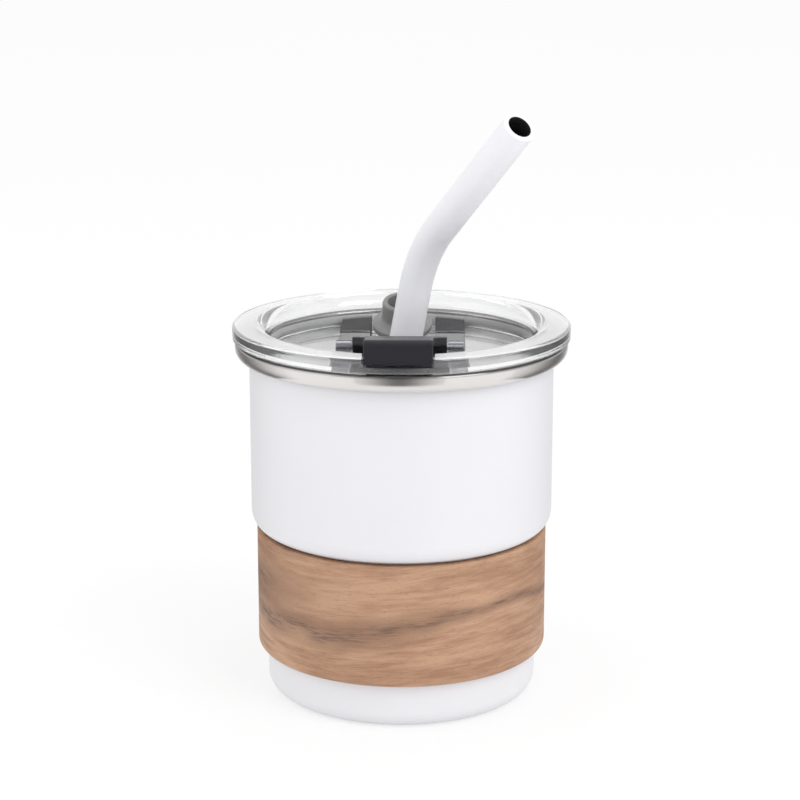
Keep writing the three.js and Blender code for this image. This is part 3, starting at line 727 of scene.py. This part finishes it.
clearLid = {
    "top": 93.5, "seat": 89.9, "flange": 41.599, "upperEdge": 0.8, "lowerEdge": 0.5,
    "dish": 32.6, "rim": 33.0, "rimEdge": 3.4, "dishCorner": 1.0, "floor": (84.2, 86.2),
    "plug": 34.2, "groove": 33.0, "grooveSpan": (82.9, 85.7), "skirt": 31.9, "bottom": 81.8, "chamfer": 0.5,
    "deckTop": 88.2, "deckHalf": 15.7, "deckEdge": 0.35, "pocket": 8.2,
    "restTop": 88.5, "restFront": 11.8, "restEdge": 0.12,
    "restMargin": 0.3,  # kept clear between the dark part, its step and the wall
    "strawHole": (0, -3, 5.8),  # x, y and radius
    "cheek": (11.5, 15.2, -20.0, 91.7, 1.6),  # across, from and to, then y, z and radius
    "lug": (3.3, 5.0, 3.6, 87.7, 1.2),
    "cheekBore": 0.95, "lugBore": 0.65, "postEdge": 0.15,
    "slot": (12.0, 4.4, -28.225),  # width, depth and y
    "slotFlat": 0.01,  # left between the rounds of its ends
    "notch": (8.4, -31.7, 91.45),  # half width, back and floor
    "sunk": 0.5,  # how far the deck and the posts reach into the dish
    "past": 1.0,  # how far the cuts reach beyond the lid
    "slack": 0.1,  # how far off its place a dark face may lie
}


def postLine(y, z, radius, foot):
    corners = [Vector((y - radius, foot)), Vector((y + radius, foot))]
    return corners + arcLine((y, z), (radius, radius), 0, 180, steps=16)


def makeClearLid(size):
    floorLow, floorTop = size["floor"]
    grooveLow, grooveTop = size["grooveSpan"]
    past = size["past"]
    corners = [
        (0, floorTop), (size["dish"], floorTop, size["dishCorner"]), (size["rim"], size["top"], size["rimEdge"]),
        (size["flange"], size["top"], size["upperEdge"]), (size["flange"], size["seat"], size["lowerEdge"]),
        (size["plug"], size["seat"]), (size["plug"], grooveTop), (size["groove"], grooveTop),
        (size["groove"], grooveLow), (size["plug"], grooveLow), (size["plug"], size["bottom"], size["chamfer"]),
        (size["skirt"], size["bottom"]), (size["skirt"], floorLow), (0, floorLow),
    ]
    lid = settle(turnedShape(roundedLine(corners, steps=10)), "clearLid")

    sunk = floorTop - size["sunk"]
    reach = size["dish"] + size["sunk"]
    half, restFront = size["deckHalf"], size["restFront"]
    side = degrees(acos(half / reach))
    front = arcLine((0, 0), (reach, reach), 180 + side, 360 - side, steps=24)
    back = arcLine((0, 0), (reach, reach), side, 180 - side, steps=24)
    deckShape = drawnShape(front + back, sunk, size["deckTop"])
    deck = settle(soften(deckShape, size["deckEdge"], edgeAbove(floorTop)), "deck")
    restShape = drawnShape([Vector((-half, restFront)), Vector((half, restFront))] + back, sunk, size["restTop"])
    rest = settle(soften(restShape, size["restEdge"], edgeAbove(floorTop)), "rest")
    carve(deck, [rest], "UNION")
    x, y, hole = size["strawHole"]
    pocket, above = size["pocket"], size["restTop"] + past
    channel = tool(boxLine(-pocket, pocket, y, reach + past), floorTop, above)
    pocketEnd = tool(circleLine(x, y, pocket, sides=64), floorTop, above)
    carve(deck, [channel, pocketEnd], "DIFFERENCE")

    posts = []
    for inner, outer, postY, postZ, radius in (size["cheek"], size["lug"]):
        line = postLine(postY, postZ, radius, sunk)
        for ends in ((inner, outer), (-outer, -inner)):
            post = drawnShape(line, *ends, along="x")
            posts.append(settle(soften(post, size["postEdge"], edgeAbove(floorTop), segments=2), "post"))
    carve(lid, [deck] + posts, "UNION")

    width, depth, slotY = size["slot"]
    slotRound = depth / 2 - size["slotFlat"]
    slotLine = boxLine(-width / 2, width / 2, slotY - depth / 2, slotY + depth / 2, slotRound, steps=8)
    notchHalf, notchBack, notchLow = size["notch"]
    notchLine = boxLine(-notchHalf, notchHalf, -size["flange"] - past, notchBack)
    cheekY, cheekZ = size["cheek"][2:4]
    lugOuter, lugY, lugZ = size["lug"][1:4]
    cuts = [
        tool(circleLine(x, y, hole), floorLow - past, above),
        tool(slotLine, floorLow - past, above),
        tool(notchLine, notchLow, size["top"] + past),
        tool(circleLine(cheekY, cheekZ, size["cheekBore"], sides=24), -half, half, "x"),
        tool(circleLine(lugY, lugZ, size["lugBore"], sides=24), -lugOuter - past, lugOuter + past, "x"),
    ]
    carve(lid, cuts, "DIFFERENCE")

    # the back part's faces take the painted reflection material
    slack, margin = size["slack"], size["restMargin"]
    for face in lid.data.polygons:
        place = face.center / mm
        beside = pocket - slack < abs(place.x) < half + slack and place.xy.length < size["dish"] - margin
        if beside and place.y > restFront + margin and place.z > floorTop + slack:
            face.material_index = 1
    evenNormals(lid)
    return lid


dress(makeClearLid(clearLid), "lid", "clear_plastic", ["lid_body"], lidSurface, paintedReflectionSurface)

lidGasket = {"inner": 33.2, "outer": 34.45, "valley": 33.85, "bottom": 83.1, "top": 85.5, "fins": 2, "finEdge": 0.18}


def makeLidGasket(inner, outer, valley, bottom, top, fins, finEdge):
    pitch = (top - bottom) / fins
    corners = [(inner, bottom)]
    for fin in range(fins):
        corners.append((valley, bottom + fin * pitch))
        corners.append((outer, bottom + (fin + 0.5) * pitch, finEdge))
    corners += [(valley, top), (inner, top)]
    return settle(turnedShape(roundedLine(corners, steps=4)), "lidGasket")


dress(makeLidGasket(**lidGasket), "lid", "clear_silicone", ["lid_gasket"], gasketSurface)
print("lid made")


# sip cap

sipCap = {
    "hinge": (0, -20.0, 91.7), "barrel": 2.5, "barrelHalf": 11.2, "bore": 0.95, "boreReach": 20.0,
    "barrelRound": 0.98,  # share of the barrel that its corners are rounded by
    "lever": 20.7, "faceHalf": 8.0, "faceTop": 6.25, "faceLow": 0.15, "plate": 2.2, "skirt": 2.0,
    "topEdge": 1.4, "lowEdge": 0.5, "sideEdge": 0.4, "innerEdge": 0.3, "skirtRoot": 0.5,
    "flareStart": -7.0, "flareEnd": -3.2, "flareSteps": 12,
    "planSpan": (-8.0, 12.0), "past": 1.0,  # how far the shapes that cut it reach
    "stemHalf": 5.8, "stemDepth": 2.0, "stemY": -8.225, "stemLow": -2.1, "stemEdge": 0.4, "stemSunk": 1.0,
    "padHalf": 6.6, "padDepth": 2.8, "padLow": -3.2, "padHigh": -1.6, "padFloor": 0.9, "padFit": 0.2,
    "padCorner": 1.0, "padEdge": 0.25, "hollowCorner": 0.5,
    "pin": 0.8, "pinHalf": 15.2,
    "crease": 40, "sideLimit": 50, "flatLimit": 1,  # degrees
}


def makeSipCap(size):
    slope = (size["faceTop"] - size["barrel"]) / size["lever"]

    def topAt(y):
        return size["barrel"] - slope * y

    barrel, front, skirtY = size["barrel"], -size["lever"], -size["lever"] + size["skirt"]
    wide, past, crease = size["barrelHalf"], size["past"], size["crease"]
    barrelRound = barrel * size["barrelRound"]
    corners = [
        (0, barrel), (front, size["faceTop"], size["topEdge"]), (front, size["faceLow"], size["lowEdge"]),
        (skirtY, size["faceLow"], size["innerEdge"]),
        (skirtY, topAt(skirtY) - size["plate"], size["skirtRoot"]),
        (-barrel, topAt(-barrel) - size["plate"], size["innerEdge"]),
        (-barrel, -barrel, barrelRound), (barrel, -barrel, barrelRound), (barrel, barrel, barrelRound),
    ]
    cap = settle(drawnShape(roundedLine(corners, steps=8), -wide - past, wide + past, "x"), "sipCap")
    right = [Vector((size["faceHalf"], front - past))]
    for step in range(size["flareSteps"] + 1):
        share = step / size["flareSteps"]
        half = size["faceHalf"] + (wide - size["faceHalf"]) * share * share * (3 - 2 * share)
        right.append(Vector((half, size["flareStart"] + (size["flareEnd"] - size["flareStart"]) * share)))
    right.append(Vector((wide, barrel + past)))
    plan = right + [Vector((-p.x, p.y)) for p in reversed(right)]
    carve(cap, [tool(plan, *size["planSpan"])], "INTERSECT")
    shape = bmesh.new()
    shape.from_mesh(cap.data)
    bmesh.ops.dissolve_limit(shape, angle_limit=radians(size["flatLimit"]), verts=shape.verts, edges=shape.edges)
    soften(shape, size["sideEdge"], limit=size["sideLimit"]).to_mesh(cap.data)
    shape.free()
    smooth(cap, crease)
    stemY, stemHalf, stemDepth = size["stemY"], size["stemHalf"], size["stemDepth"]
    stemLine = boxLine(-stemHalf, stemHalf, stemY - stemDepth, stemY + stemDepth, size["stemEdge"])
    carve(cap, [tool(stemLine, size["stemLow"], topAt(stemY) - size["stemSunk"])], "UNION", crease)
    boreLine = circleLine(0, 0, size["bore"], sides=24)
    carve(cap, [tool(boreLine, -size["boreReach"], size["boreReach"], "x")], "DIFFERENCE", crease)
    evenNormals(cap)
    return cap


def makeSipPad(size):
    stemY, fit = size["stemY"], size["padFit"]
    halfX, halfY = size["padHalf"], size["padDepth"]
    line = boxLine(-halfX, halfX, stemY - halfY, stemY + halfY, size["padCorner"])
    pad = settle(soften(drawnShape(line, size["padLow"], size["padHigh"]), size["padEdge"]), "sipPad")
    inX, inY = size["stemHalf"] + fit, size["stemDepth"] + fit
    line = boxLine(-inX, inX, stemY - inY, stemY + inY, size["hollowCorner"])
    carve(pad, [tool(line, size["padLow"] + size["padFloor"], 0)], "DIFFERENCE")
    return pad


def makePin(name, radius, half, domeShare=0.4):
    # a turned pin along X with domed ends, whose height is a share of the radius
    height = radius * domeShare
    dome = [(p.x, half - height + p.y) for p in arcLine((0, 0), (radius, height), 0, 90, steps=6)]
    line = [(r, -z) for r, z in reversed(dome)] + dome
    line[0], line[-1] = (0, -half), (0, half)
    shape = turnedShape(line, sides=32)
    bmesh.ops.rotate(shape, verts=shape.verts, matrix=Matrix.Rotation(pi / 2, 3, "Y"))
    return settle(shape, name)


def placeAt(piece, hinge, lean=0.0):
    # the mesh itself is moved, so that the object stays at the origin
    piece.data.transform(Matrix.Translation(Vector(hinge) * mm) @ Matrix.Rotation(radians(lean), 4, "X"))
    return piece


cap = placeAt(makeSipCap(sipCap), sipCap["hinge"])
pad = placeAt(makeSipPad(sipCap), sipCap["hinge"])
capPin = placeAt(makePin("sipCapPin", sipCap["pin"], sipCap["pinHalf"]), sipCap["hinge"])
dress(cap, "sip_cap", "black_plastic", ["flip_cap"], blackSurface)
dress(pad, "sip_cap", "grey_silicone", ["flip_cap_seal"], greySurface)
dress(capPin, "sip_cap", "pin_steel", ["flip_hinge_pin"], pinSurface)
print("sip cap made")


# straw stopper

strawStopper = {
    "hinge": (0, 3.6, 87.7), "lean": 18.0, "barrel": 1.2, "strapHalf": 3.0, "strap": (-0.6, 0.8), "strapEdge": 0.2,
    "disc": 7.5, "discSpan": (-0.9, 1.3), "discRim": 0.75, "discEdge": 0.5, "reach": 8.5,
    "plug": 5.2, "taper": 0.3, "plugTop": 6.7, "plugEdge": 0.7, "plugFillet": 1.9,
    "bore": 3.6, "boreFloor": 1.3, "boreEdge": 0.4, "boreRound": 0.5,
    "pinBore": 0.65, "pinBoreReach": 8.0, "pin": 0.5, "pinHalf": 5.0,
}


def makeStopper(size):
    low, high = size["discSpan"]
    corners = [
        (0, low), (size["disc"], low, size["discEdge"]), (size["disc"], size["discRim"], size["discEdge"]),
        (size["plug"], high, size["plugFillet"]), (size["plug"] - size["taper"], size["plugTop"], size["plugEdge"]),
        (size["bore"], size["plugTop"], size["boreEdge"]), (size["bore"], size["boreFloor"], size["boreRound"]),
        (0, size["boreFloor"]),
    ]
    plugShape = turnedShape(roundedLine(corners), sides=96)
    bmesh.ops.translate(plugShape, verts=plugShape.verts, vec=Vector((0, size["reach"], 0)) * mm)
    plug = settle(plugShape, "strawStopper")
    half, edge = size["strapHalf"], size["strapEdge"]
    strapShape = drawnShape(boxLine(0, size["reach"], *size["strap"]), -half, half, "x")
    strap = settle(soften(strapShape, edge, segments=2), "strap")
    barrelShape = drawnShape(circleLine(0, 0, size["barrel"], sides=32), -half, half, "x")
    barrel = settle(soften(barrelShape, edge, segments=2), "barrel")
    carve(plug, [strap, barrel], "UNION")
    boreLine = circleLine(0, 0, size["pinBore"], sides=24)
    carve(plug, [tool(boreLine, -size["pinBoreReach"], size["pinBoreReach"], "x")], "DIFFERENCE")
    evenNormals(plug)
    return plug


stopper = placeAt(makeStopper(strawStopper), strawStopper["hinge"], strawStopper["lean"])
stopperPin = placeAt(makePin("stopperPin", strawStopper["pin"], strawStopper["pinHalf"]), strawStopper["hinge"],
                     strawStopper["lean"])
dress(stopper, "stopper", "grey_silicone", ["straw_stopper"], greySurface)
dress(stopperPin, "stopper", "pin_steel", ["stopper_hinge_pin"], pinSurface)
print("stopper made")


# straw

bentStraw = {
    "radius": 4.0, "bore": 2.75, "lean": 10.2, "shift": 0.45, "lower": 96.3, "upper": 39.8,
    "bendRadius": 26.0, "bend": 40.6, "heading": -60.0, "holeY": -3.0, "holeLevel": 86.2, "floor": 6.4,
    "rimEdge": 0.45, "sides": 72, "lowerSteps": 6, "bendSteps": 28, "upperSteps": 4, "rimSteps": 6,
    "paleRows": 3,  # rows of faces inside the tip's rim that are still white
    "crease": 60,
}


def strawFrame(size, length):
    # the centre of the straw and its two side directions, at a length from its lower end
    out = Vector((cos(radians(size["heading"])), sin(radians(size["heading"])), 0))
    side = Vector((0, 0, 1)).cross(out)
    bend, radius = radians(size["bend"]), size["bendRadius"]
    curved = length - size["lower"]
    turn = min(max(curved / radius, 0), bend)
    past = max(curved - bend * radius, 0)
    reach = radius * (1 - cos(turn)) + past * sin(turn)
    rise = min(length, size["lower"]) + radius * sin(turn) + past * cos(turn)
    return out * reach + Vector((0, 0, rise)), out * cos(turn) - Vector((0, 0, sin(turn))), side


def makeStraw(size):
    edge, radius, bore, lower = size["rimEdge"], size["radius"], size["bore"], size["lower"]
    bendEnd = lower + radians(size["bend"]) * size["bendRadius"]
    total = bendEnd + size["upper"]

    def stations(start, end, steps):
        return [start + (end - start) * k / steps for k in range(steps + 1)]

    def rim(centre, start, end):
        return [(p.x, p.y) for p in arcLine(centre, (edge, edge), start, end, size["rimSteps"])]

    lengths = stations(0, lower, size["lowerSteps"])[1:-1]
    lengths += stations(lower, bendEnd, size["bendSteps"])
    lengths += stations(bendEnd, total, size["upperSteps"])[1:-1]
    path = rim((radius - edge, edge), -90, 0) + [(radius, at) for at in lengths]
    path += rim((radius - edge, total - edge), 0, 90)
    # the bore's faces, past the pale rows, take the painted shade
    boreStart = len(path) + size["paleRows"]
    path += rim((bore + edge, total - edge), 90, 180) + [(bore, at) for at in reversed(lengths)]
    path += rim((bore + edge, edge), 180, 270)
    shape = bmesh.new()
    angles = evenAngles(size["sides"])
    rings = []
    for wide, at in path:
        centre, across, side = strawFrame(size, at)
        rings.append([shape.verts.new((centre + (across * cos(a) + side * sin(a)) * wide) * mm) for a in angles])
    for k, (low, high) in enumerate(zip(rings, rings[1:] + rings[:1])):
        bridge(shape, low, high, 1 if k >= boreStart else 0)
    straw = settle(shape, "bentStraw", size["crease"])
    lean = radians(size["lean"])
    foot = size["floor"] + radius * sin(lean)
    start = Vector((size["shift"] - tan(lean) * (size["holeLevel"] - foot), size["holeY"], foot))
    straw.data.transform(Matrix.Translation(start * mm) @ Matrix.Rotation(lean, 4, "Y"))
    return straw


dress(makeStraw(bentStraw), "drinking_straw", "white_plastic", ["straw"], strawSurface, paintedBoreShadeSurface)
print("straw made")


# studio

studio = {
    "floorRadius": 6000.0,
    "floorDrop": 0.1,  # below the foot, so that the two faces don't share a level
    "floorColour": (0.95, 0.95, 0.955), "floorSecond": (0.9405, 0.9405, 0.94545), "floorCloud": 3.0,
    "floorRoughness": 0.9,
    "floorGlow": 0.68,  # what the camera sees of the white sweep, beside the floor's own shading
    "skyLight": 0.95,
    "keyPower": 4.0, "keyPlace": (620, -620, 900), "keySize": 700.0,
    "fillPower": 1.0, "fillPlace": (-800, -300, 600), "fillSize": 800.0,
    "aimHeight": 60.0,  # where both lamps point
    # bearing in degrees, distance, width, height and tone
    "cards": ((0, 130, 130, 300, 0.16), (112, 95, 165, 88, 0.18), (-112, 95, 165, 88, 0.18)),
    "cardPale": 0.9, "cardFade": 0.3, "cardRoughness": 0.9,
}


def seenDirectly(tree):
    # the camera sees the plain white sweep, also through the clear lid and mirrored in the steel
    ray = put(tree, "ShaderNodeLightPath").outputs
    seen = maths(tree, "MAXIMUM", ray["Is Camera Ray"], ray["Is Transmission Ray"])
    return maths(tree, "MAXIMUM", seen, ray["Is Glossy Ray"])


def makeFloor(values):
    surface, tree, shader = newSurface("paleFloor")
    cloud = useGroup(tree, fineSkin, Cloud=values["floorCloud"])["Cloudiness"]
    colour = ramp(tree, cloud, noiseSpan, (values["floorColour"], values["floorSecond"]))
    fill(tree, shader, {"Base Color": colour, "Roughness": values["floorRoughness"], "Specular IOR Level": 0.0})
    glow = put(tree, "ShaderNodeEmission", {"Color": (1, 1, 1, 1), "Strength": 1.0})
    share = product(tree, seenDirectly(tree), values["floorGlow"])
    mix = put(tree, "ShaderNodeMixShader", {0: share, 1: shader.outputs["BSDF"], 2: glow.outputs["Emission"]})
    fill(tree, tree.nodes["Material Output"], {"Surface": mix.outputs["Shader"]})
    shape = bmesh.new()
    bmesh.ops.create_circle(shape, cap_ends=True, radius=values["floorRadius"] * mm, segments=96)
    floor = settle(shape, "floor")
    floor.location.z = -values["floorDrop"] * mm
    floor.data.materials.append(surface)


def makeSky(values):
    world = bpy.data.worlds.new("studioSky")
    scene.world = world
    world.use_nodes = True
    tree = world.node_tree
    strength = spread(tree, seenDirectly(tree), 0.0, 1.0, values["skyLight"], 1.0)
    fill(tree, tree.nodes["Background"], {"Strength": strength, "Color": (1, 1, 1, 1)})


def makeLamp(values, name):
    data = bpy.data.lights.new(name + "Lamp", "AREA")
    data.energy = values[name + "Power"]
    data.size = values[name + "Size"] * mm
    lamp = bpy.data.objects.new(name + "Lamp", data)
    lamp.location = Vector(values[name + "Place"]) * mm
    aim = Vector((0, 0, values["aimHeight"])) * mm - lamp.location
    lamp.rotation_euler = aim.to_track_quat("-Z", "Y").to_euler()
    scene.collection.objects.link(lamp)


def cardSurface(values, width, tone):
    surface, tree, shader = newSurface("darkCard")
    across = maths(tree, "DIVIDE", partPlace(tree)["X"], values["cardFade"] * width * mm)
    pale, dark = ((level, level, level) for level in (values["cardPale"], tone))
    colour = mixColour(tree, bell(tree, across), pale, dark)
    fill(tree, shader, {"Base Color": colour, "Roughness": values["cardRoughness"]})
    return surface


def makeCards(values):
    # cards, dark in their middle, that only mirror-like surfaces pick up
    for bearing, distance, width, height, tone in values["cards"]:
        shape = bmesh.new()
        corners = ((-width / 2, 0), (width / 2, 0), (width / 2, height), (-width / 2, height))
        shape.faces.new([shape.verts.new(Vector((x, -distance, z)) * mm) for x, z in corners])
        card = settle(shape, "darkCard")
        card.rotation_euler.z = radians(bearing)
        card.data.materials.append(cardSurface(values, width, tone))
        card.visible_camera = card.visible_diffuse = card.visible_transmission = card.visible_shadow = False


makeFloor(studio)
makeSky(studio)
makeCards(studio)
makeLamp(studio, "key")
makeLamp(studio, "fill")
scene.view_settings.view_transform = "Standard"
print("studio ready")
